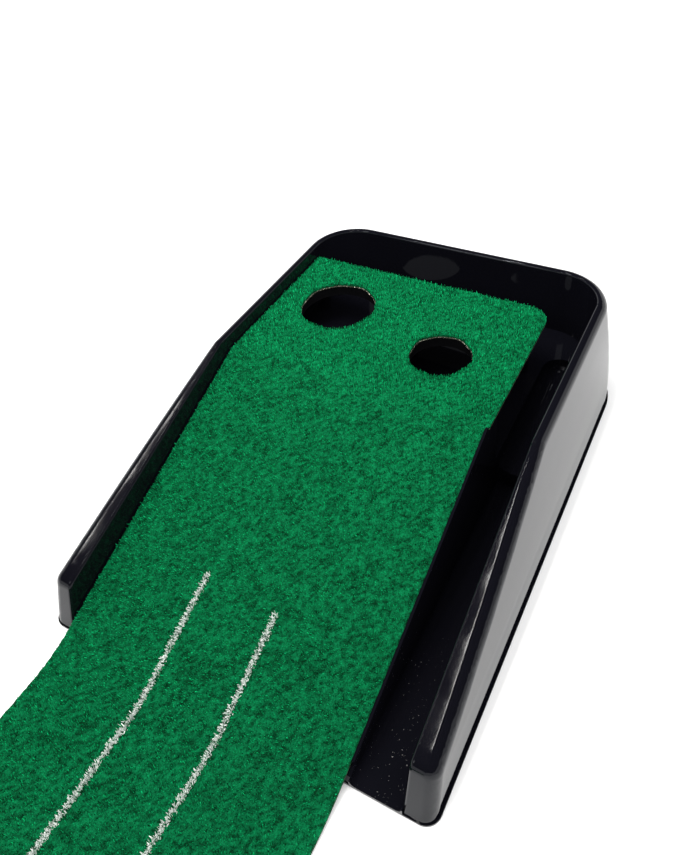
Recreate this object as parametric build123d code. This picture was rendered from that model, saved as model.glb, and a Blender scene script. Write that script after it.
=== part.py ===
from build123d import *
from build123d.topology import SkipClean
import math
import os

# Practice putting mat: a moulded ball-return tray with a ramp and a two-hole deck, under a strip of
# artificial turf held on by hook-and-loop. Millimetres, +Z up, floor at z = 0.
# Origin: on the floor, on the turf's centre line, at the foot of the ramp's surface (y = 0).
# +Y runs from the ramp to the back of the tray, +X towards the ball return channel.

# Turf strip
TURF_W = 304.8            # 12 in
TURF_L = 2743.2           # 9 ft, measured along the strip
PILE = 6.0
BACKING = 2.0
EAR = 4.0                 # the turf is wider on the deck, right of the ramp's lip
EAR_Y = 301.0
TURF_BACK_Y = 501.0
TURF_CORNER_R = 25.0
CREASE_R = 20.0           # bend of the turf's underside over the top of the ramp
FOOT_R = 150.0            # bend of the turf's underside where it meets the floor
LAY_GAP = 0.3             # turf to moulding
STRETCHES = [296.0, -65.0]    # y where the strip's layers are split into deck, ramp and floor stretches

# Ramp and deck
RAMP_TOP_Y = 304.0
DECK_TOP_Z = 123.3
RAMP_FOOT_Z = 11.7
DECK_T = 4.0
DECK_FRONT_Y = 309.0
DECK_BACK_Y = 497.0
DECK_X = 150.0
DECK_CORNER_R = 20.0
DECK_SIDE_GAP = 1.0       # to the left wall
LEDGE_D = 16.0            # shelf behind the ramp that carries the deck's front edge
RAMP_FRONT_Y = -5.0
RAMP_FRONT_LEAN = 3.0     # the ramp's low front face leans back by this
FRONT_FOOT_Y = 8.0        # flat foot under the ramp's front edge, from the front to this y
LIP_GAP = 1.0
LIP_T = 2.5
LIP_RISE = 8.0            # above the ramp's surface, level with the pile
LIP_START_Y = 6.0
LIP_END_Y = 299.0

# Cup holes: centre x, centre y, radius in the turf
LARGE_HOLE = (-77.3, 417.5, 44.6)
SMALL_HOLE = (70.4, 381.6, 34.5)
DECK_HOLE_EXTRA = 1.5
COLLAR_T = 2.5
COLLAR_H = 9.0
DECK_RIBS = [352.0, 466.0]   # y of the stiffening ribs under the deck
RIB_H = 7.0
RIB_MARGINS = (12.0, 26.0)   # from the deck's left and right edges

# Tray walls: inner faces, rim and outer skirt
SHEET_T = 3.0
WALL_LEFT_X = -154.4
WALL_RIGHT_X = 202.0
WALL_BACK_Y = 554.5
WALL_CORNER_R = 50.0
WALL_FRONT_Y = -5.0
RIM_Z = 146.0
RIM_W = 10.5              # at the level part of the rim
OVER_RIM = (9.2, 152.0)   # the section runs on above the rim before the side view cuts it
SKIRT_MID = (24.2, 55.0)  # offset from the inner face, height
SKIRT_FOOT = 27.0
FLANGE = 2.0              # trimmed edge along the skirt's foot, width and height
RIM_BEND_Y = 289.0
RIM_FRONT = (13.0, 54.0)  # y, z of the rim's front end before rounding
RIM_NOSE_R = 12.0
RIM_BEND_R = 18.0
RIM_EDGE_R = 3.5
FRONT_CORNER_R = 12.0

# Return channel, catch basin and trough
CHANNEL_FRONT_Z = 3.2
CHANNEL_BACK_Z = 10.0
BASIN_FRONT_Y = 335.0
BASIN_LEFT_Z = 66.0
BASIN_RIGHT_Z = 56.0
TROUGH_X = 178.0
TROUGH_R = 22.0
TROUGH_BACK_Y = 505.0
TROUGH_BACK_Z = 36.0
TROUGH_FRONT_Z = 30.0
TROUGH_BOTTOM_R = 15.0
CHANNEL_FILLET_R = 6.0    # along both sides of the channel's floor
CHANNEL_FILLET_END_Y = 325.0

# Deck posts and screws
POSTS = [(-138.0, 345.0), (-138.0, 480.0), (0.0, 455.0), (136.0, 468.0)]
LEDGE_SCREWS = [(-60.0, 317.0), (60.0, 317.0)]
POST_R = 6.5
SCREW_R = 1.75
SCREW_L = 13.0
SCREW_HEAD_R = 4.0
SCREW_HEAD_T = 2.2
DRIVE_L = 4.2             # cross drive in the head: length, width, depth
DRIVE_W = 1.0
DRIVE_D = 0.7

# Hook-and-loop strips: width along the strip's short side, and stack heights in the recess
STRIP_L = 250.0
STRIP_W = 22.0
HOOK_T = 1.0
LOOP_T = 0.8
RECESS = 1.6
STRIP_CLEAR = 1.2
RAMP_STRIPS = [30.0, 165.0]       # distance up the slope
DECK_STRIPS = [335.0, 482.0]      # y on the deck

RAMP_SLOPE = (DECK_TOP_Z - RAMP_FOOT_Z) / RAMP_TOP_Y
RAMP_ANGLE = math.atan(RAMP_SLOPE)
LIP_X = TURF_W / 2 + LIP_GAP
SPAN = 700.0                      # longer than the tray, for cutting bodies


def rounded_path(points, radii):
    """Straight runs through the points, with a tangent arc of the given radius at each inner point."""
    edges = []
    start = Vector(*points[0])
    for before, corner, after, radius in zip(points, points[1:], points[2:], radii):
        corner = Vector(*corner)
        back = (Vector(*before) - corner).normalized()
        ahead = (Vector(*after) - corner).normalized()
        if radius <= 0:
            edges.append(Line(start, corner))
            start = corner
            continue
        half = math.radians(back.get_angle(ahead)) / 2
        reach = radius / math.tan(half)
        first = corner + back * reach
        last = corner + ahead * reach
        middle = corner + (back + ahead).normalized() * (radius / math.sin(half) - radius)
        edges.append(Line(start, first))
        edges.append(ThreePointArc(first, middle, last))
        start = last
    edges.append(Line(start, Vector(*points[-1])))
    return edges


def closed_prism(edges, x_from, x_to):
    """An outline of edges in the YZ plane, drawn as (y, z), extruded from x_from to x_to."""
    face = make_face([Plane.YZ * edge for edge in edges])
    return Pos(x_from, 0, 0) * extrude(face, amount=x_to - x_from, dir=(1, 0, 0))


def polygon_prism(points, x_from, x_to):
    return closed_prism([Line(a, b) for a, b in zip(points, points[1:] + points[:1])], x_from, x_to)


def block(x_from, x_to, y_from, y_to, z_from, z_to):
    size = (x_to - x_from, y_to - y_from, z_to - z_from)
    return Pos(x_from, y_from, z_from) * Box(*size, align=Align.MIN)


def post(x, y, z_from, z_to, radius):
    return Pos(x, y, z_from) * Cylinder(radius, z_to - z_from, align=(Align.CENTER, Align.CENTER, Align.MIN))


def wall_section(inset, start):
    """Wall section in the XZ plane: flat inner face at x = start, crowned outer skirt."""
    foot = (start + SKIRT_FOOT - inset, 0)
    inner = start + inset
    outer = (start + OVER_RIM[0] - inset, OVER_RIM[1] - inset)
    crown = (start + SKIRT_MID[0] - inset, SKIRT_MID[1])
    edges = [Line(outer, (inner, outer[1])), Line((inner, outer[1]), (inner, 0)), Line((inner, 0), foot)]
    edges.append(ThreePointArc(foot, crown, outer))
    return make_face([Plane.XZ * edge for edge in edges])


def rim_outline(inset):
    """The side view of the walls: level rim, a bend, then a slope down to a low rounded front end."""
    base = (WALL_FRONT_Y + inset, 0)
    nose = (RIM_FRONT[0] + inset, RIM_FRONT[1] - inset)
    bend = (RIM_BEND_Y, RIM_Z - inset)
    back = (SPAN, RIM_Z - inset)
    edges = rounded_path([base, nose, bend, back], [RIM_NOSE_R, RIM_BEND_R])
    return edges + [Line(back, (SPAN, 0)), Line((SPAN, 0), base)]


def walls(inset):
    """Left, back and right walls with revolved corners, cut to the rim's side view."""
    radius = WALL_CORNER_R
    side_length = WALL_BACK_Y - radius - WALL_FRONT_Y - inset
    back_length = WALL_RIGHT_X - WALL_LEFT_X - 2 * radius
    straight = wall_section(inset, 0)
    side = extrude(straight, amount=side_length, dir=(0, 1, 0))
    back = extrude(straight, amount=back_length, dir=(0, 1, 0))
    corner = revolve(wall_section(inset, radius), axis=Axis.Z, revolution_arc=90)
    ring = Pos(WALL_RIGHT_X, WALL_FRONT_Y + inset, 0) * side
    ring += Pos(WALL_LEFT_X, WALL_FRONT_Y + inset, 0) * mirror(side, about=Plane.YZ)
    ring += Pos(WALL_RIGHT_X - radius, WALL_BACK_Y, 0) * Rot(0, 0, 90) * back
    ring += Pos(WALL_RIGHT_X - radius, WALL_BACK_Y - radius, 0) * corner
    ring += Pos(WALL_LEFT_X + radius, WALL_BACK_Y - radius, 0) * Rot(0, 0, 90) * corner
    return ring & closed_prism(rim_outline(inset), WALL_LEFT_X - 60, WALL_RIGHT_X + 60)


def ramp_z(y):
    return RAMP_FOOT_Z + RAMP_SLOPE * y


def base_flange():
    """Thin plate with the tray's whole plan outline, its edge standing proud of the skirt's foot."""
    left = WALL_LEFT_X - SKIRT_FOOT - FLANGE
    right = WALL_RIGHT_X + SKIRT_FOOT + FLANGE
    back = WALL_BACK_Y + SKIRT_FOOT + FLANGE
    front_r = FRONT_CORNER_R + FLANGE
    back_r = WALL_CORNER_R + SKIRT_FOOT + FLANGE
    corners = [(0, WALL_FRONT_Y), (right, WALL_FRONT_Y), (right, back)]
    corners += [(left, back), (left, WALL_FRONT_Y), (0, WALL_FRONT_Y)]
    outline = rounded_path(corners, [front_r, back_r, back_r, front_r])
    return extrude(make_face(outline), amount=FLANGE)


def front_corners(shape):
    """The upright outer edges at the front ends of the side walls."""
    low = shape.edges().filter_by(lambda e: e.center().Y < RIM_FRONT[0] and 5 < e.center().Z < RIM_FRONT[1])
    reach = RIM_W + 5
    return low.filter_by(lambda e: not WALL_LEFT_X - reach < e.center().X < WALL_RIGHT_X + reach)


def ramp_mass(inset):
    """The ramp from the floor up to its surface, with the shelf for the deck behind its top."""
    front = RAMP_FRONT_Y + inset
    foot_y = front + RAMP_FRONT_LEAN
    foot = (foot_y, ramp_z(foot_y) - inset / math.cos(RAMP_ANGLE))
    shelf_y = DECK_FRONT_Y - 0.5
    shelf_z = DECK_TOP_Z - DECK_T - inset
    shelf_back = DECK_FRONT_Y + LEDGE_D - inset
    below = [(shelf_back, shelf_z), (shelf_back, 0), (front, 0), foot]
    if inset:
        peak = (foot[0] + (shelf_z - foot[1]) / RAMP_SLOPE, shelf_z)
        edges = [Line(foot, peak), Line(peak, below[0])]
    else:
        crest = (shelf_y, DECK_TOP_Z)
        edges = rounded_path([foot, (RAMP_TOP_Y, DECK_TOP_Z), crest], [CREASE_R - LAY_GAP])
        edges += [Line(crest, (shelf_y, shelf_z)), Line((shelf_y, shelf_z), below[0])]
    edges += [Line(a, b) for a, b in zip(below, below[1:])]
    return closed_prism(edges, WALL_LEFT_X - (SHEET_T + 1 if inset else 1), LIP_X + LIP_T - inset)


def trough(inset):
    """Round-bottomed slot from the back of the basin to the head of the channel, open at the front."""
    radius = TROUGH_R + inset
    start = RAMP_TOP_Y
    slope = (TROUGH_BACK_Z - TROUGH_FRONT_Z) / (TROUGH_BACK_Y - BASIN_FRONT_Y)
    front_z = TROUGH_FRONT_Z - slope * (BASIN_FRONT_Y - start) - inset
    back_z = front_z + slope * (SPAN - start)
    plan = Pos(TROUGH_X, TROUGH_BACK_Y - TROUGH_R) * Circle(radius)
    run = TROUGH_BACK_Y - TROUGH_R - start
    plan += Pos(TROUGH_X, start + run / 2) * Rectangle(2 * radius, run)
    slot = extrude(plan, amount=RIM_Z)
    slot &= polygon_prism([(start, front_z), (SPAN, back_z), (SPAN, 100), (start, 100)], 100, 300)
    low = slot.edges().filter_by(lambda e: e.bounding_box().max.Z < TROUGH_BACK_Z + 1)
    low = low.filter_by(lambda e: e.center().Y > start + 1)
    return fillet(low, TROUGH_BOTTOM_R)


def channel_fillet(x, towards):
    """Concave fillet along one side of the channel's floor; towards is the way into the channel."""
    radius = CHANNEL_FILLET_R
    root = SHEET_T / 3
    low = CHANNEL_FRONT_Z
    outline = [(x + towards * radius, low), (x + towards * radius, low - root)]
    outline += [(x - towards * root, low - root), (x - towards * root, low + radius), (x, low + radius)]
    bulge = radius * (1 - math.sqrt(0.5))
    edges = [Line(a, b) for a, b in zip(outline, outline[1:])]
    edges.append(ThreePointArc(outline[-1], (x + towards * bulge, low + bulge), outline[0]))
    section = Pos(0, WALL_FRONT_Y, 0) * make_face([Plane.XZ * edge for edge in edges])
    rise = (CHANNEL_BACK_Z - CHANNEL_FRONT_Z) / (BASIN_FRONT_Y + 5 - WALL_FRONT_Y)
    run = CHANNEL_FILLET_END_Y - WALL_FRONT_Y
    return extrude(section, amount=run * math.hypot(1, rise), dir=(0, 1, rise))


def floor_mass(inset):
    """Channel floor and basin floor, from the ground up to their surfaces, with the trough sunk in."""
    grow = SHEET_T + 1 if inset else 1
    left = WALL_LEFT_X - grow
    right = WALL_RIGHT_X + grow
    side = LIP_X + LIP_T - grow
    front = WALL_FRONT_Y + inset
    channel = polygon_prism(
        [
            (front, 0),
            (front, CHANNEL_FRONT_Z - inset),
            (BASIN_FRONT_Y + 5, CHANNEL_BACK_Z - inset),
            (BASIN_FRONT_Y + 5, 0),
        ],
        side,
        right,
    )
    section = [(left, 0), (left, BASIN_LEFT_Z - inset), (right, BASIN_RIGHT_Z - inset), (right, 0)]
    face = make_face([Plane.XZ * Line(a, b) for a, b in zip(section, section[1:] + section[:1])])
    behind_ramp = DECK_FRONT_Y + LEDGE_D - grow
    deep = WALL_BACK_Y + grow - behind_ramp
    basin = Pos(0, behind_ramp, 0) * extrude(face, amount=deep, dir=(0, 1, 0))
    basin -= block(LIP_X + LIP_T - inset, right + 1, behind_ramp - 1, BASIN_FRONT_Y + inset, -1, RIM_Z)
    return channel + (basin - trough(inset))


def slope_location(distance):
    """A place on the ramp's surface, a distance up the slope from its foot."""
    run = distance * math.cos(RAMP_ANGLE)
    return Pos(0, run, RAMP_FOOT_Z + RAMP_SLOPE * run) * Rot(math.degrees(RAMP_ANGLE), 0, 0)


def strip(depth_top, depth_bottom, clear):
    """A hook, loop or recess slab, measured down from the moulding's surface."""
    slab = Box(STRIP_L + 2 * clear, STRIP_W + 2 * clear, depth_bottom - depth_top)
    return Pos(0, 0, -(depth_top + depth_bottom) / 2) * slab


def on_ramp(slab):
    return [slope_location(distance) * slab for distance in RAMP_STRIPS]


def on_deck(slab):
    return [Pos(0, y, DECK_TOP_Z) * slab for y in DECK_STRIPS]


def basin_floor_z(x):
    share = (x - WALL_LEFT_X) / (WALL_RIGHT_X - WALL_LEFT_X)
    return BASIN_LEFT_Z + (BASIN_RIGHT_Z - BASIN_LEFT_Z) * share


def rim_edges(shape):
    """Edges between the rim's upward faces and the faces beside it."""
    found = {}
    for face in shape.faces():
        bounds = face.bounding_box()
        outside = bounds.max.X > WALL_RIGHT_X + 5 or bounds.min.X < WALL_LEFT_X - 5
        if outside and face.normal_at(None).Z > 0.3 and face.center().Z > 20:
            for edge in face.edges():
                place = tuple(round(v, 2) for v in (*edge.center(), edge.length))
                found.setdefault(place, []).append(edge)
    return [edges[0] for edges in found.values() if len(edges) == 1]


def make_tray():
    seat = DECK_TOP_Z - DECK_T
    outer = walls(0)
    outer = fillet(front_corners(outer), FRONT_CORNER_R)
    outer = fillet(rim_edges(outer), RIM_EDGE_R)
    hollow = walls(SHEET_T) - block(-300, 300, WALL_FRONT_Y - 1, 18, -1, RIM_Z)
    hollow += ramp_mass(SHEET_T) + floor_mass(SHEET_T)
    filling = ramp_mass(0) + floor_mass(0) + base_flange()
    lip = [
        (LIP_START_Y, ramp_z(LIP_START_Y) - SHEET_T / 2),
        (LIP_START_Y, ramp_z(LIP_START_Y) + LIP_RISE),
        (LIP_END_Y, ramp_z(LIP_END_Y) + LIP_RISE),
        (LIP_END_Y, ramp_z(LIP_END_Y) - SHEET_T / 2),
    ]
    added = polygon_prism(lip, LIP_X, LIP_X + LIP_T)
    added += block(WALL_LEFT_X, LIP_X, RAMP_FRONT_Y, FRONT_FOOT_Y, 0, SHEET_T)
    added += channel_fillet(LIP_X + LIP_T, 1) + channel_fillet(WALL_RIGHT_X, -1)
    bores = []
    for x, y in POSTS:
        added += post(x, y, basin_floor_z(x) - SHEET_T / 2, seat, POST_R)
        bores.append(post(x, y, seat - SCREW_L, seat, SCREW_R))
    for x, y in LEDGE_SCREWS:
        added += post(x, y, seat - SCREW_L - 2, seat - SHEET_T / 2, POST_R)
        bores.append(post(x, y, seat - SCREW_L, seat, SCREW_R))
    # Joining leaves the rim's fillets as they are: merging faces here would open the front corners.
    with SkipClean():
        tray = outer + filling - hollow + added - bores - on_ramp(strip(-1, RECESS, STRIP_CLEAR))
    return tray


def make_deck():
    """Plate over the basin: two cup holes with collars below, ribs, countersinks, strip recesses."""
    left = WALL_LEFT_X + DECK_SIDE_GAP
    plate = block(left, DECK_X, DECK_FRONT_Y, DECK_BACK_Y, DECK_TOP_Z - DECK_T, DECK_TOP_Z)
    corner = plate.edges().filter_by(Axis.Z).sort_by(lambda e: e.center().X + e.center().Y)[-1]
    deck = fillet(corner, DECK_CORNER_R)
    under = DECK_TOP_Z - DECK_T
    for y in DECK_RIBS:
        deck += block(left + RIB_MARGINS[0], DECK_X - RIB_MARGINS[1], y, y + COLLAR_T, under - RIB_H, under)
    for x, y, radius in (LARGE_HOLE, SMALL_HOLE):
        opening = radius + DECK_HOLE_EXTRA
        deck += post(x, y, under - COLLAR_H, under, opening + COLLAR_T)
        deck -= post(x, y, under - COLLAR_H - 1, DECK_TOP_Z + 1, opening)
    for x, y in POSTS + LEDGE_SCREWS:
        deck -= post(x, y, under - RIB_H, DECK_TOP_Z + 1, SCREW_R)
        deck -= countersink(x, y)
        deck -= post(x, y, under - RIB_H - 1, under, POST_R + 0.5)
    for recess in on_deck(strip(-1, RECESS, STRIP_CLEAR)):
        deck -= recess
    return deck


def countersink(x, y):
    """The cone of a flat-head screw, its face level with the deck's surface."""
    cone = Cone(SCREW_R, SCREW_HEAD_R, SCREW_HEAD_T, align=(Align.CENTER, Align.CENTER, Align.MAX))
    return Pos(x, y, DECK_TOP_Z) * cone


def make_screws():
    under = DECK_TOP_Z - DECK_T
    screws = []
    for x, y in POSTS + LEDGE_SCREWS:
        screw = countersink(x, y) + post(x, y, under - SCREW_L, DECK_TOP_Z - SCREW_HEAD_T, SCREW_R)
        drive = Box(DRIVE_L, DRIVE_W, 2 * DRIVE_D) + Box(DRIVE_W, DRIVE_L, 2 * DRIVE_D)
        screws.append(screw - Pos(x, y, DECK_TOP_Z) * drive)
    return Compound(screws)


def course(height):
    """The turf's lie in the YZ plane at a height above its underside, from the deck to the far end."""
    rise = LAY_GAP + height
    half = math.tan(RAMP_ANGLE / 2)
    deck_z = DECK_TOP_Z + rise
    crease = (RAMP_TOP_Y - half * rise, deck_z)
    foot = ((height - RAMP_FOOT_Z - rise / math.cos(RAMP_ANGLE)) / RAMP_SLOPE, height)
    slope_run = math.hypot(crease[0] - foot[0], crease[1] - foot[1])
    saved = (2 * half - RAMP_ANGLE) * (CREASE_R + FOOT_R)
    flat = TURF_L - (TURF_BACK_Y - crease[0]) - slope_run + saved
    ends = [(TURF_BACK_Y, deck_z), crease, foot, (foot[0] - flat, height)]
    return ends, rounded_path(ends, [CREASE_R + height, FOOT_R - height])


def turf_plan(far_y):
    """Plan outline of the strip: straight, with the ear right of the deck and its rounded corner."""
    half = TURF_W / 2
    points = [(-half, far_y), (half, far_y), (half, EAR_Y), (half + EAR, EAR_Y)]
    points += [(half + EAR, TURF_BACK_Y), (-half, TURF_BACK_Y)]
    edges = rounded_path(points, [0, 0, 0, TURF_CORNER_R])
    return make_face(edges + [Line(points[-1], points[0])])


def turf_layer(low, high):
    """One layer of the strip between two heights, with both cup holes cut through."""
    low_ends, under = course(low)
    high_ends, over = course(high)
    caps = [Line(low_ends[0], high_ends[0]), Line(low_ends[-1], high_ends[-1])]
    half = TURF_W / 2
    layer = closed_prism(under + over + caps, -half, half + EAR)
    layer &= extrude(turf_plan(low_ends[-1][0] - 1), amount=RIM_Z * 2)
    for x, y, radius in (LARGE_HOLE, SMALL_HOLE):
        layer -= post(x, y, DECK_TOP_Z - DECK_T, RIM_Z, radius)
    return layer


def stretches(name, layer):
    """One turf layer cut square across into its deck, ramp and floor stretches."""
    ends = [SPAN, *STRETCHES, -TURF_L]
    cuts = zip(["deck", "ramp", "floor"], ends, ends[1:])
    return {f"{name}_{place}": layer & block(-SPAN, SPAN, low, high, -1, SPAN) for place, high, low in cuts}


def make_parts():
    hook = strip(RECESS - HOOK_T, RECESS, 0)
    loop = strip(-LAY_GAP, LOOP_T - LAY_GAP, 0)
    return {
        "tray": make_tray(),
        "cup_deck": make_deck(),
        "deck_screws": make_screws(),
        "hook_strips_ramp": Compound(on_ramp(hook)),
        "hook_strips_deck": Compound(on_deck(hook)),
        "loop_strips_ramp": Compound(on_ramp(loop)),
        "loop_strips_deck": Compound(on_deck(loop)),
        **stretches("turf_backing", turf_layer(0, BACKING)),
        **stretches("turf_pile", turf_layer(BACKING, BACKING + PILE)),
    }


os.makedirs("parts", exist_ok=True)
for name, shape in make_parts().items():
    export_step(shape, f"parts/{name}.step")
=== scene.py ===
import math

import bpy
import numpy as np
from mathutils import Matrix, Vector


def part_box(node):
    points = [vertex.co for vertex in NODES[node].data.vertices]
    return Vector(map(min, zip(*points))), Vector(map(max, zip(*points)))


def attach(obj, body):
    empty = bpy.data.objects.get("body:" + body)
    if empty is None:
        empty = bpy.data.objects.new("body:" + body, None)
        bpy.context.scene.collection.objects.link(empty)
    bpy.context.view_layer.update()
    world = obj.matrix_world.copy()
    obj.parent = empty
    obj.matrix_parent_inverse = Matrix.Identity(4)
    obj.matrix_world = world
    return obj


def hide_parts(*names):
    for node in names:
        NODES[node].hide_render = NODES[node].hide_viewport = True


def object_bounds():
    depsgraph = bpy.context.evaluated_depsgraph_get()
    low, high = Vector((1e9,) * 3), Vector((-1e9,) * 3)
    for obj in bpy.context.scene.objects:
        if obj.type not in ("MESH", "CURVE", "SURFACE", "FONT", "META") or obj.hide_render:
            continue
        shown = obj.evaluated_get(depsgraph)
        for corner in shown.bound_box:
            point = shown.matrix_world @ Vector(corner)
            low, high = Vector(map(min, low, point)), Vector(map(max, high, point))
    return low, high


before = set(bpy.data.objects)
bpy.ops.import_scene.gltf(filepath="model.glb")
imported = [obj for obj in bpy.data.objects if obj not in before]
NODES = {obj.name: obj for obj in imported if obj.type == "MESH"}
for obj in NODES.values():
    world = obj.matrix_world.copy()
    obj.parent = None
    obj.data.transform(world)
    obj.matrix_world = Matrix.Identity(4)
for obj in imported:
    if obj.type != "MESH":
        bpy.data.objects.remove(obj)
cad_low, cad_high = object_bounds()
RNG = np.random.default_rng(11)

# The strip, in metres. Its place comes from the frame; its section repeats the CAD's driving values.
TURF_L = 2.7432
TURF_W = 0.3048
BACKING = 0.002
PILE = 0.006
LAY_GAP = 0.0003
CREASE_R = 0.020
FOOT_R = 0.150
CORNER_R = 0.025
RAMP_TOP_Y = 0.304
RAMP_FOOT_Z = 0.0117
EAR_Y = 0.301
HOLES = ((-0.0773, 0.4175, 0.0446), (0.0704, 0.3816, 0.0345))
LINES = ((-0.0435, 0.088), (0.0380, 0.081))  # centre x and the y where each alignment line starts
LINE_W = 0.0054

# How finely the strip is drawn: cells across, rows near the tray and rows on the floor
CELLS_X = 104
ROW_NEAR = 0.003
ROW_FAR = 0.012
NEAR_L = 0.95
TUFT_NEAR = 0.0019
TUFT_FAR = 0.0046
ROOT_H = 0.0024  # height of the matted base among the fibres, above the backing
BACK_FADE = 0.02  # the back edge's waver dies out over this distance

# How the tray's and the deck's corners are shaded
FLAT_AREA = 0.0008  # a flat patch larger than this keeps its own normal
FLAT_ANGLE = math.radians(0.6)
SMOOTH_ANGLE = math.radians(28)
FLAT_WEIGHT = 1e5

turf_low, turf_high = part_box("turf_pile_deck")
UNDER_Z = turf_high[2] - PILE - BACKING
BACK_Y = turf_high[1]
RIGHT_X = turf_high[0]
LEFT_X = turf_low[0]
DECK_Z = UNDER_Z - LAY_GAP
SLOPE = (DECK_Z - RAMP_FOOT_Z) / RAMP_TOP_Y
ANGLE = math.atan(SLOPE)


# ---------------------------------------------------------------- materials


class Shader:
    """A small helper for building one procedural material."""

    def __init__(self, name, color, roughness, **more):
        self.material = bpy.data.materials.new(name)
        self.material.use_nodes = True
        self.tree = self.material.node_tree
        self.body = self.tree.nodes["Principled BSDF"]
        self.set(self.body, "Base Color", (*color, 1))
        self.set(self.body, "Roughness", roughness)
        for key, value in more.items():
            self.set(self.body, key.replace("_", " "), value)
        self.place = self.add("ShaderNodeTexCoord").outputs["Object"]

    def add(self, kind, **settings):
        node = self.tree.nodes.new(kind)
        for key, value in settings.items():
            setattr(node, key, value)
        return node

    def set(self, node, socket, value):
        if isinstance(value, bpy.types.NodeSocket):
            self.tree.links.new(value, node.inputs[socket])
        else:
            node.inputs[socket].default_value = value

    def noise(self, scale, detail):
        node = self.add("ShaderNodeTexNoise")
        self.set(node, "Vector", self.place)
        self.set(node, "Scale", scale)
        self.set(node, "Detail", detail)
        return node.outputs["Fac"]

    def spread(self, value, low, high, to_low, to_high):
        node = self.add("ShaderNodeMapRange")
        self.set(node, "Value", value)
        limits = {"From Min": low, "From Max": high, "To Min": to_low, "To Max": to_high}
        for key, number in limits.items():
            self.set(node, key, number)
        return node.outputs["Result"]

    def mix(self, factor, first, second):
        node = self.add("ShaderNodeMix", data_type="RGBA")
        self.set(node, "Factor", factor)
        for socket, value in ((6, first), (7, second)):
            if isinstance(value, bpy.types.NodeSocket):
                self.tree.links.new(value, node.inputs[socket])
            else:
                node.inputs[socket].default_value = (*value, 1)
        return node.outputs[2]

    def math(self, operation, first, second):
        node = self.add("ShaderNodeMath", operation=operation)
        for socket, value in ((0, first), (1, second)):
            self.set(node, socket, value)
        return node.outputs[0]

    def bump(self, height, strength, distance):
        node = self.add("ShaderNodeBump")
        self.set(node, "Height", height)
        self.set(node, "Strength", strength)
        self.set(node, "Distance", distance)
        self.set(self.body, "Normal", node.outputs["Normal"])


BLACK = (0.0035, 0.0035, 0.0055)
# colour of the pale specks on the channel floor: dust, and painted light that makes the channel's open
# front look lit
DUST_AND_LIGHT = (0.24, 0.23, 0.22)
DUST_AND_LIGHT_X = (0.157, 0.201)  # across the return channel
DUST_AND_LIGHT_Y = (-0.005, 0.15)  # thickest at the channel's front, none by the far end
DUST_AND_LIGHT_TOP_Z = 0.012
SPECK_LEVEL = 0.71


def black_plastic():
    """Vacuum-formed gloss sheet, a little wavy, with pale specks on the channel's floor near the front:
    dust, and painted light where the channel's open front is lit.
    """
    s = Shader("black_plastic_gloss", BLACK, 0.08)
    s.set(s.body, "Specular IOR Level", 0.30)
    s.set(s.body, "Specular Tint", (0.93, 0.96, 1.0, 1))
    split = s.add("ShaderNodeSeparateXYZ")
    s.set(split, "Vector", s.place)
    in_channel = s.math("GREATER_THAN", split.outputs["X"], DUST_AND_LIGHT_X[0])
    inside = s.math("LESS_THAN", split.outputs["X"], DUST_AND_LIGHT_X[1])
    near_front = s.spread(split.outputs["Y"], *DUST_AND_LIGHT_Y, 1.0, 0.0)
    on_floor = s.math("LESS_THAN", split.outputs["Z"], DUST_AND_LIGHT_TOP_Z)
    # pale specks, thickest at the front and none by the far end: dust, and painted light on the
    # channel's lit front
    specks = s.math("GREATER_THAN", s.noise(620.0, 4.0), SPECK_LEVEL)
    across = s.math("MULTIPLY", in_channel, inside)
    dust_and_light = s.math("MULTIPLY", across, s.math("MULTIPLY", on_floor, near_front))
    dust_and_light = s.math("MULTIPLY", dust_and_light, specks)
    s.set(s.body, "Base Color", s.mix(dust_and_light, BLACK, DUST_AND_LIGHT))
    s.set(s.body, "Roughness", s.spread(s.noise(35.0, 4.0), 0.35, 0.7, 0.02, 0.05))
    s.bump(s.noise(14.0, 1.0), 0.015, 0.002)
    return s.material


def deck_plastic():
    s = Shader("deck_plastic_satin", (0.003, 0.003, 0.0035), 0.40)
    s.bump(s.noise(900.0, 2.0), 0.15, 0.0003)
    return s.material


def screw_steel():
    s = Shader("screw_zinc", (0.55, 0.55, 0.56), 0.35, Metallic=1.0)
    s.set(s.body, "Roughness", s.spread(s.noise(700.0, 3.0), 0.3, 0.7, 0.25, 0.45))
    return s.material


def tape(name, color):
    s = Shader(name, color, 0.9)
    weave = s.noise(1500.0, 2.0)
    s.set(s.body, "Base Color", s.mix(weave, color, tuple(min(1, c * 2.2) for c in color)))
    s.bump(weave, 0.6, 0.0006)
    return s.material


def backing_latex(name, dark, pale):
    s = Shader(name, pale, 0.85)
    weave = s.noise(650.0, 3.0)
    s.set(s.body, "Base Color", s.mix(s.spread(weave, 0.35, 0.65, 0, 1), dark, pale))
    s.bump(weave, 0.5, 0.0006)
    return s.material


def pile(name, dark, bright, ground):
    """Nylon pile: each fibre has its own shade, painted shade darkens the roots so that the ends look
    as if they catch the light, and the lines are dyed white.
    """
    s = Shader(name, bright, 0.75)
    s.set(s.body, "Specular IOR Level", 0.06)
    shade = s.add("ShaderNodeAttribute", attribute_name="shade").outputs["Fac"]
    line = s.add("ShaderNodeAttribute", attribute_name="line").outputs["Fac"]
    patch = s.spread(s.noise(45.0, 3.0), 0.3, 0.7, -0.05, 0.05)
    fine = s.spread(s.noise(700.0, 2.0), 0.3, 0.7, -0.35, 0.35)
    mixed = s.math("ADD", s.math("ADD", shade, patch), s.math("MULTIPLY", fine, 1.0 if ground else 0.3))
    green = s.mix(mixed, dark, bright)
    white = s.mix(shade, (0.50, 0.58, 0.53), (1.0, 1.0, 0.98))
    s.set(s.body, "Base Color", s.mix(line, green, white))
    if ground:
        s.bump(s.noise(500.0, 3.0), 0.8, 0.0015)
    return s.material


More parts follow.
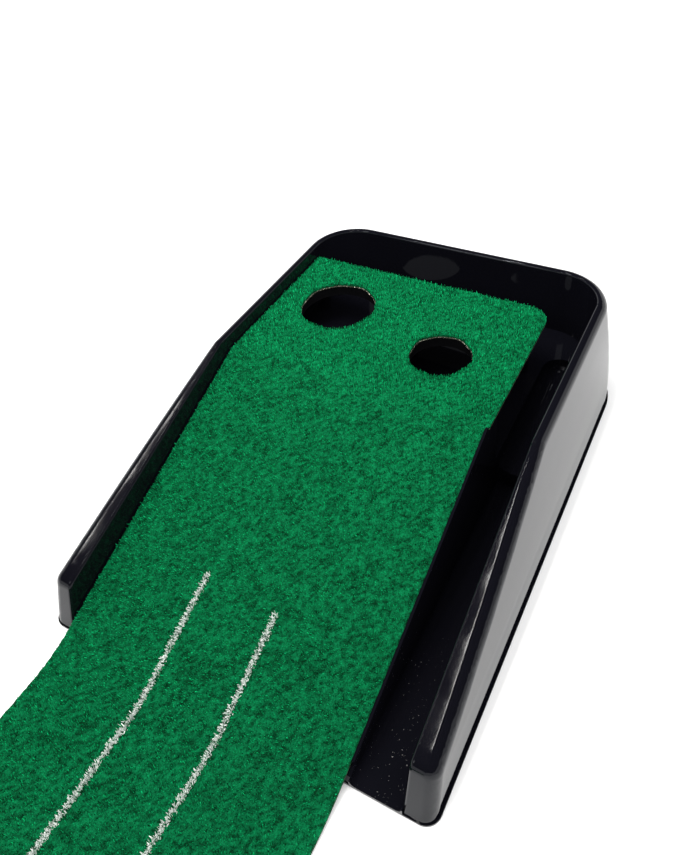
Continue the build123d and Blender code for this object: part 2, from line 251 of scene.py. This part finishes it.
DARK_GREEN = (0.0004, 0.028, 0.009)
BRIGHT_GREEN = (0.0075, 0.690, 0.235)
# painted shade: the matted base is the fibres' green darkened, as if in shade down among the fibres
SHADED_BASE_GREEN = tuple(c * 0.22 for c in BRIGHT_GREEN)  # the matted base, in the fibres' shade
PLASTIC = black_plastic()
LATEX = backing_latex("backing_latex_weave", (0.020, 0.030, 0.018), (0.12, 0.13, 0.09))
YARN = backing_latex("backing_yarn_pale", (0.35, 0.36, 0.27), (0.78, 0.76, 0.62))
PILE_BASE = pile("turf_pile_base", DARK_GREEN, SHADED_BASE_GREEN, True)
PILE_FIBRE = pile("turf_pile_fibre", DARK_GREEN, BRIGHT_GREEN, False)
FINISHES = {
    "tray": PLASTIC,
    "cup_deck": deck_plastic(),
    "deck_screws": screw_steel(),
    "hook_strips_ramp": tape("hook_tape_black", (0.010, 0.010, 0.010)),
    "hook_strips_deck": tape("hook_tape_deck", (0.010, 0.010, 0.010)),
    "loop_strips_ramp": tape("loop_tape_grey", (0.020, 0.020, 0.020)),
    "loop_strips_deck": tape("loop_tape_deck", (0.020, 0.020, 0.020)),
}


def shade(mesh):
    """Curved faces shade smooth, and large flat ones keep their own normal up to their edges."""
    places = {}
    spots = [places.setdefault(tuple(round(c, 6) for c in v.co), len(places)) for v in mesh.vertices]
    normals = np.array([face.normal for face in mesh.polygons])
    areas = np.array([face.area for face in mesh.polygons])
    faces = [[spots[v] for v in face.vertices] for face in mesh.polygons]
    at_spot = [[] for _ in places]
    at_edge = {}
    for index, face in enumerate(faces):
        for a, b in zip(face, face[1:] + face[:1]):
            at_spot[a].append(index)
            at_edge.setdefault((min(a, b), max(a, b)), []).append(index)
    patch = list(range(len(faces)))

    def root(index):
        while patch[index] != index:
            patch[index] = patch[patch[index]]
            index = patch[index]
        return index

    for pair in at_edge.values():
        if len(pair) == 2 and normals[pair[0]] @ normals[pair[1]] > math.cos(FLAT_ANGLE):
            patch[root(pair[0])] = root(pair[1])
    roots = np.array([root(index) for index in range(len(faces))])
    patch_area = np.bincount(roots, areas, len(faces))[roots]
    weighted = normals * (areas * np.where(patch_area > FLAT_AREA, FLAT_WEIGHT, 1.0))[:, None]
    corners = []
    for index, face in enumerate(faces):
        for spot in face:
            near = np.array(at_spot[spot])
            near = near[normals[near] @ normals[index] > math.cos(SMOOTH_ANGLE)]
            total = weighted[near].sum(axis=0) if len(near) else normals[index]
            corners.append(total / max(np.linalg.norm(total), 1e-20))
    mesh.shade_smooth()
    mesh.normals_split_custom_set(corners)


for node, material in FINISHES.items():
    mesh = NODES[node].data
    mesh.materials.clear()
    mesh.materials.append(material)
    shade(mesh)


# ---------------------------------------------------------------- the strip's course


def course(distance):
    """y, z and the upward normal of the strip's underside, at distances from its back edge."""
    bite = math.tan(ANGLE / 2)
    crease_y = RAMP_TOP_Y - bite * LAY_GAP
    foot_y = -(RAMP_FOOT_Z + LAY_GAP / math.cos(ANGLE)) / SLOPE
    on_deck = BACK_Y - crease_y - CREASE_R * bite
    on_slope = math.hypot(crease_y - foot_y, UNDER_Z) - (CREASE_R + FOOT_R) * bite
    ends = np.cumsum([on_deck, CREASE_R * ANGLE, on_slope, FOOT_R * ANGLE])
    d = np.asarray(distance, float)
    t1 = np.clip(d - ends[0], 0, ends[1] - ends[0]) / CREASE_R
    t2 = np.clip(d - ends[2], 0, ends[3] - ends[2]) / FOOT_R
    tilt = t1 - t2
    y = BACK_Y - np.clip(d, None, ends[0]) - CREASE_R * np.sin(t1)
    z = UNDER_Z - CREASE_R * (1 - np.cos(t1))
    run = np.clip(d - ends[1], 0, on_slope)
    y = y - run * math.cos(ANGLE)
    z = z - run * math.sin(ANGLE)
    y = y - FOOT_R * (math.sin(ANGLE) - np.sin(ANGLE - t2))
    z = z - FOOT_R * (np.cos(ANGLE - t2) - math.cos(ANGLE))
    y = y - np.clip(d - ends[3], 0, None)
    return y, z, -np.sin(tilt), np.cos(tilt)


def right_edge(distance):
    """The strip's right edge: rounded at the back, wider over the deck, then straight."""
    y = course(distance)[0]
    edge = np.where(y > EAR_Y, RIGHT_X, LEFT_X + TURF_W)
    back = np.clip(CORNER_R - distance, 0, CORNER_R)
    return edge - (CORNER_R - np.sqrt(CORNER_R**2 - back**2))


def ragged(turn):
    """The cup holes are cut by hand, so their edges run a little in and out."""
    return 0.0007 * np.sin(5 * turn + 0.8) + 0.0005 * np.sin(9 * turn + 2.1)


def waver(x):
    """The hand-cut back edge isn't quite straight."""
    return 0.0009 * np.sin(x * 47 + 0.6) + 0.0006 * np.sin(x * 118)


def place(x, distance, height):
    """Points at a height above the strip's underside."""
    y, z, ny, nz = course(distance)
    return np.stack([x, y + ny * height, z + nz * height], axis=-1)


def grid(grow):
    """Plan of the strip: across and along values, and the quads left after the cup holes are cut.

    grow makes the outline and the pushed-out hole edges that much fuller."""
    near = np.linspace(0, NEAR_L, round(NEAR_L / ROW_NEAR) + 1)
    far = np.linspace(NEAR_L, TURF_L, round((TURF_L - NEAR_L) / ROW_FAR) + 1)
    along = np.concatenate([near, far[1:]])
    across = np.linspace(0, 1, CELLS_X + 1)
    left, right = LEFT_X - grow, right_edge(along) + grow
    x = left + across[None, :] * (right - left)[:, None]
    s = np.repeat(along[:, None], CELLS_X + 1, axis=1)
    fade = np.clip(1 - s / BACK_FADE, 0, 1)
    s = s + fade * (np.abs(waver(x)) - grow)
    x, s = x.ravel(), s.ravel()
    rows, columns = len(along), CELLS_X + 1
    corner = (np.arange(rows - 1)[:, None] * columns + np.arange(columns - 1)[None, :]).ravel()
    quads = np.stack([corner, corner + 1, corner + columns + 1, corner + columns], axis=1)
    for hx, hy, radius in HOLES:
        radius = radius - grow
        dx, dy = x - hx, course(s)[0] - hy
        away = np.hypot(dx, dy)
        radius = radius + ragged(np.arctan2(dy, dx))
        inside = away < radius
        quads = quads[~inside[quads].all(axis=1)]
        touched = np.unique(quads[inside[quads]])
        push = radius[touched] / np.maximum(away[touched], 1e-6)
        x[touched] = hx + dx[touched] * push
        s[touched] = BACK_Y - (hy + dy[touched] * push)
    used = np.unique(quads)
    renumber = np.full(rows * columns, -1)
    renumber[used] = np.arange(len(used))
    return x[used], s[used], renumber[quads]


def rim_pairs(quads):
    """Directed edges that belong to one quad only: the outline and the holes' edges."""
    edges = np.concatenate([quads[:, [i, (i + 1) % 4]] for i in range(4)])
    keys = np.sort(edges, axis=1)
    _, first, count = np.unique(keys, axis=0, return_index=True, return_counts=True)
    return edges[first[count == 1]]


def new_object(name, points, faces, material):
    mesh = bpy.data.meshes.new(name)
    mesh.from_pydata(points.tolist(), [], faces.tolist())
    mesh.materials.append(material)
    mesh.update()
    obj = bpy.data.objects.new(name, mesh)
    bpy.context.scene.collection.objects.link(obj)
    return obj


def point_values(obj, name, values):
    layer = obj.data.attributes.new(name, "FLOAT", "POINT")
    layer.data.foreach_set("value", np.asarray(values, np.float32))


def on_line(x, s):
    """True where the alignment lines are dyed."""
    y = course(s)[0]
    hits = [(np.abs(x - centre) < LINE_W / 2) & (y < start) for centre, start in LINES]
    return hits[0] | hits[1]


def line_places(spacing, start, end):
    """Places of the dyed fibres along both lines, between two distances from the back edge."""
    count = round(LINE_W * 1.15 * (end - start) / spacing**2)
    x = np.concatenate([centre + RNG.normal(0, LINE_W * 0.29, count) for centre, _ in LINES])
    s = np.concatenate([RNG.uniform(start, end, count) for _ in LINES])
    starts = np.repeat([first for _, first in LINES], count)
    centres = np.repeat([centre for centre, _ in LINES], count)
    keep = (course(s)[0] < starts) & (np.abs(x - centres) < LINE_W * 0.6)
    return x[keep], s[keep]


def slab(name, grow, low, high, material, slot, rough=0.0):
    """A closed layer of the strip between two heights, its top optionally uneven."""
    x, s, quads = grid(grow)
    count = len(x)
    top = place(x, s, high + rough * RNG.uniform(-1, 1, count))
    bottom = place(x, s, low)
    rim = rim_pairs(quads)
    sides = np.stack([rim[:, 1], rim[:, 0], rim[:, 0] + count, rim[:, 1] + count], axis=1)
    faces = np.concatenate([quads[:, ::-1], quads + count, sides[:, ::-1]])
    obj = new_object(name, np.concatenate([top, bottom]), faces, material)
    if rough:
        point_values(obj, "shade", np.tile(RNG.uniform(0, 1, count), 2))
        point_values(obj, "line", np.zeros(2 * count))
    return obj


def blades(name, x, s, root, tall, width, lean, material, slot, white=0.0):
    """One narrow tapering blade per root: random turn, height, lean and shade, and painted shade
    darkening its root.
    """
    count = len(x)
    turn = RNG.uniform(0, math.pi, count)
    rise = tall * RNG.uniform(0.72, 1.0, count)
    half = width * RNG.uniform(0.7, 1.15, count) / 2
    away = RNG.uniform(0, 2 * math.pi, count)
    tip = lean * RNG.uniform(0.1, 1.0, count)
    cx, cs = np.cos(turn), np.sin(turn)
    corners = []
    for side, share, level in ((-1, 1.0, 0), (1, 1.0, 0), (1, 0.45, 1), (-1, 0.45, 1)):
        px = x + side * share * half * cx + level * tip * np.cos(away)
        ps = s + side * share * half * cs + level * tip * np.sin(away)
        corners.append(place(px, ps, root + level * rise))
    points = np.stack(corners, axis=1).reshape(-1, 3)
    faces = np.arange(4 * count).reshape(-1, 4)
    obj = new_object(name, points, faces, material)
    shades = np.repeat(np.clip(RNG.normal(0.56, 0.36, count), 0, 1.3), 4)
    # painted shade: each blade's two root corners are darkened, to a quarter on green fibres and to 0.9
    # on white ones
    for lower in (0, 1):
        shades[lower::4] *= 0.9 if white else 0.25
    point_values(obj, "shade", shades)
    point_values(obj, "line", np.full(4 * count, white))
    return obj


def scatter(spacing, start, end, margin):
    """Jittered tuft places between two distances, kept off the edges and out of the cup holes."""
    rows = max(2, round((end - start) / spacing))
    columns = round(TURF_W / spacing)
    steps = np.arange(rows)[:, None] + RNG.uniform(0, 1, (rows, columns))
    s = start + steps * (end - start) / rows
    u = (np.arange(columns)[None, :] + RNG.uniform(0, 1, (rows, columns))) / columns
    s, u = s.ravel(), u.ravel()
    left = LEFT_X + margin
    x = left + u * (right_edge(s) - margin - left)
    s = s + np.clip(1 - s / BACK_FADE, 0, 1) * (np.abs(waver(x)) + margin)
    y = course(s)[0]
    keep = ~on_line(x, s) | (RNG.uniform(0, 1, len(x)) < 0.25)
    for hx, hy, radius in HOLES:
        keep &= np.hypot(x - hx, y - hy) > radius + ragged(np.arctan2(y - hy, x - hx)) + margin
    return x[keep], s[keep]


def hole_edge(spacing, inset):
    """Places round both cup holes."""
    xs, ss = [], []
    for hx, hy, radius in HOLES:
        count = round(2 * math.pi * radius / spacing)
        turn = np.linspace(0, 2 * math.pi, count, endpoint=False)
        turn = turn + RNG.uniform(-0.3, 0.3, count) / count
        away = radius + ragged(turn) + inset + RNG.uniform(-0.0004, 0.0004, count)
        xs.append(hx + away * np.cos(turn))
        ss.append(BACK_Y - (hy + away * np.sin(turn)))
    return np.concatenate(xs), np.concatenate(ss)


# ---------------------------------------------------------------- the turf's pieces

EDGE_INSET = 0.0003  # the backing stays this far inside the pile's outline
MAT_GAP = 0.0001
MAT_ROUGH = 0.0007
TUFT_MARGIN = 0.0006
backing = slab("turf_backing_sheet", -EDGE_INSET, 0.0, BACKING, LATEX, "backing_latex")
mat_z = (BACKING + MAT_GAP, BACKING + ROOT_H)
base = slab("turf_pile_mat", 0.0, *mat_z, PILE_BASE, "turf_green", rough=MAT_ROUGH)
near_x, near_s = scatter(TUFT_NEAR, 0.0, NEAR_L, TUFT_MARGIN)
far_x, far_s = scatter(TUFT_FAR, NEAR_L, TURF_L, TUFT_MARGIN)
rim_x, rim_s = hole_edge(0.0009, 0.0008)
near_x, near_s = np.concatenate([near_x, rim_x]), np.concatenate([near_s, rim_s])
ROOT = BACKING + ROOT_H * 0.6
TALL = PILE - ROOT_H * 0.6
GREEN_FIBRE = {"material": PILE_FIBRE, "slot": "turf_green"}
WHITE_FIBRE = {**GREEN_FIBRE, "white": 1.0}
LINE_BACK = 0.35  # distance from the back edge at which the search for the lines starts
fibres = blades("turf_pile_fibres", near_x, near_s, ROOT, TALL, 0.0011, 0.0013, **GREEN_FIBRE)
far = blades("turf_pile_fibres_floor", far_x, far_s, ROOT, TALL, 0.0024, 0.003, **GREEN_FIBRE)

line_x, line_s = line_places(0.00095, LINE_BACK, NEAR_L)
white_near = blades("line_fibres", line_x, line_s, ROOT, TALL, 0.0014, 0.0028, **WHITE_FIBRE)
line_x, line_s = line_places(0.0021, NEAR_L, TURF_L)
white_far = blades("line_fibres_floor", line_x, line_s, ROOT, TALL, 0.0024, 0.0035, **WHITE_FIBRE)

thread_x, thread_s = hole_edge(0.0020, -0.0002)
THREAD_Z = 0.0008
THREAD_L = 0.0014
threads = blades(
    "backing_threads", thread_x, thread_s, THREAD_Z, THREAD_L, 0.0010, 0.0014, YARN, "backing_latex"
)

TURF_PIECES = [backing, base, fibres, far, white_near, white_far, threads]
for piece in TURF_PIECES:
    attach(piece, "turf")
STRETCHES = ("deck", "ramp", "floor")
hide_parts(*[f"turf_backing_{n}" for n in STRETCHES])
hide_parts(*[f"turf_pile_{n}" for n in STRETCHES])

# ---------------------------------------------------------------- studio

floor_mesh = bpy.data.meshes.new("studio_floor")
FLOOR = 14.0  # half of its side
FLOOR_DROP = 0.0005  # just under the object, so the two don't flicker
floor_corners = [(-FLOOR, -FLOOR, 0), (FLOOR, -FLOOR, 0), (FLOOR, FLOOR, 0), (-FLOOR, FLOOR, 0)]
floor_mesh.from_pydata(floor_corners, [], [(0, 1, 2, 3)])
floor = bpy.data.objects.new("studio_floor", floor_mesh)
floor.location.z = cad_low.z - FLOOR_DROP
white = Shader("studio_white", (0.97, 0.97, 0.97), 0.9)
white.set(white.body, "Specular IOR Level", 0.0)
floor_mesh.materials.append(white.material)
bpy.context.scene.collection.objects.link(floor)


def lamp(name, kind, at, aim, energy, color=(1, 1, 1), glossy=True, **settings):
    data = bpy.data.lights.new(name, kind)
    data.energy = energy
    data.color = color
    for key, value in settings.items():
        setattr(data, key, value)
    obj = bpy.data.objects.new(name, data)
    obj.location = at
    obj.rotation_mode = "QUATERNION"
    obj.rotation_quaternion = (Vector(aim) - Vector(at)).to_track_quat("-Z", "Y")
    obj.visible_glossy = glossy
    obj.visible_camera = False
    bpy.context.scene.collection.objects.link(obj)
    return obj


lamp("sky_fill", "SUN", (0.5, -0.6, 3), (0, 0, 0), 4.2, glossy=False, angle=math.radians(110))
CREAM = (1.0, 0.96, 0.90)
STRIP = {"shape": "RECTANGLE", "size": 0.020, "size_y": 1.0}
# long thin lamps over the object, meant for the highlights along the rims: place, turn, power
RIM_STRIPS = {
    "strip_right_rim": ((-0.110, -0.053, 2.0), -1.2, 6.0),
    "strip_left_rim": ((-1.574, -0.053, 2.0), -15.3, 4.5),
}
for name, (at, turn, power) in RIM_STRIPS.items():
    strip = lamp(name, "AREA", at, (*at[:2], 0), power, CREAM, **STRIP)
    strip.rotation_quaternion = Matrix.Rotation(math.radians(turn), 3, "Z").to_quaternion()
lamp("deck_fill", "AREA", (-0.02, 0.42, 0.65), (-0.02, 0.40, 0.13), 3.0, glossy=False, size=0.3)
lamp("sparkle", "POINT", (-0.5, -0.9, 1.9), (0, 0, 0), 6, shadow_soft_size=0.03)
lamp("front_box", "AREA", (-0.8, -1.5, 1.9), (0, 0.4, 0.1), 7, size=0.7)

world = bpy.data.worlds.new("studio_world")
world.use_nodes = True
# a pale backdrop up to 18 degrees above the horizon, and a dark studio over it: sines of the heights
BACKDROP = {"From Min": 0.31, "From Max": 0.36, "To Min": 1.0, "To Max": 0.015}
tree = world.node_tree
height = tree.nodes.new("ShaderNodeSeparateXYZ")
tree.links.new(tree.nodes.new("ShaderNodeTexCoord").outputs["Generated"], height.inputs[0])
fade = tree.nodes.new("ShaderNodeMapRange")
for name, value in BACKDROP.items():
    fade.inputs[name].default_value = value
tree.links.new(height.outputs["Z"], fade.inputs["Value"])
tree.links.new(fade.outputs["Result"], tree.nodes["Background"].inputs["Color"])
world.cycles_visibility.diffuse = False
bpy.context.scene.world = world
bpy.context.scene.view_settings.view_transform = "Standard"

CAMERA_AT = (0.3284, -0.1979, 0.6763)
CAMERA_TURN = math.radians(32.67)
CAMERA_DOWN = math.radians(39.19)
CAMERA_ROLL = math.radians(-6.47)
forward = Vector((-math.sin(CAMERA_TURN), math.cos(CAMERA_TURN), 0)) * math.cos(CAMERA_DOWN)
forward.z = -math.sin(CAMERA_DOWN)
level = forward.cross(Vector((0, 0, 1))).normalized()
upward = level.cross(forward)
right = level * math.cos(CAMERA_ROLL) + upward * math.sin(CAMERA_ROLL)
top = upward * math.cos(CAMERA_ROLL) - level * math.sin(CAMERA_ROLL)
camera_data = bpy.data.cameras.new("camera")
camera_data.lens = 32.32
camera_data.shift_y = -0.104
camera = bpy.data.objects.new("camera", camera_data)
facing = Matrix((right, top, -forward)).transposed().to_4x4()
camera.matrix_world = Matrix.Translation(CAMERA_AT) @ facing
bpy.context.scene.collection.objects.link(camera)
bpy.context.scene.camera = camera
